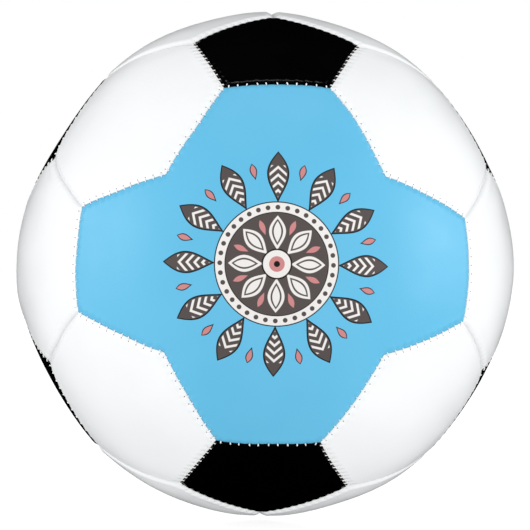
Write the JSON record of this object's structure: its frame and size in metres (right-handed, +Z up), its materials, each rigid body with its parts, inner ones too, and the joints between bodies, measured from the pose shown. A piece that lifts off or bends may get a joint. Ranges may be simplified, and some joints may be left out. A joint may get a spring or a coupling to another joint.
{
  "type": "soccer ball",
  "caption": "Full-size sewn football in the pentagon and hexagon layout, with one broad printed panel on its front.",
  "frame": {"origin": "middle of the small flat patch on which the ball rests, under its centre", "axes": "+Z up through the ball's centre; the printed panel faces -Y; +X is to the right seen from the front"},
  "size_m": [0.2201, 0.2204, 0.2232],
  "materials": {
    "white_panel": "satin synthetic leather",
    "black_panel": "glossy synthetic leather",
    "printed_panel": "satin synthetic leather, sky blue with a printed rosette",
    "thread": "waxed twisted thread",
    "bladder": "dull",
    "valve": "dull"
  },
  "bodies": {
    "root": {"panel_print": "printed_panel", "panel_black_01": "black_panel", "panel_black_02": "black_panel", "panel_black_03": "black_panel", "panel_black_04": "black_panel", "panel_black_05": "black_panel", "panel_black_06": "black_panel", "panel_black_07": "black_panel", "panel_black_08": "black_panel", "panel_black_09": "black_panel", "panel_black_10": "black_panel", "panel_white_01": "white_panel", "panel_white_02": "white_panel", "panel_white_03": "white_panel", "panel_white_04": "white_panel", "panel_white_05": "white_panel", "panel_white_06": "white_panel", "panel_white_07": "white_panel", "panel_white_08": "white_panel", "panel_white_09": "white_panel", "panel_white_10": "white_panel", "panel_white_11": "white_panel", "panel_white_12": "white_panel", "panel_white_13": "white_panel", "panel_white_14": "white_panel", "panel_white_15": "white_panel", "panel_white_16": "white_panel", "panel_white_17": "white_panel", "panel_white_18": "white_panel", "bladder": "bladder", "valve": "valve"}
  },
  "joints": []
}
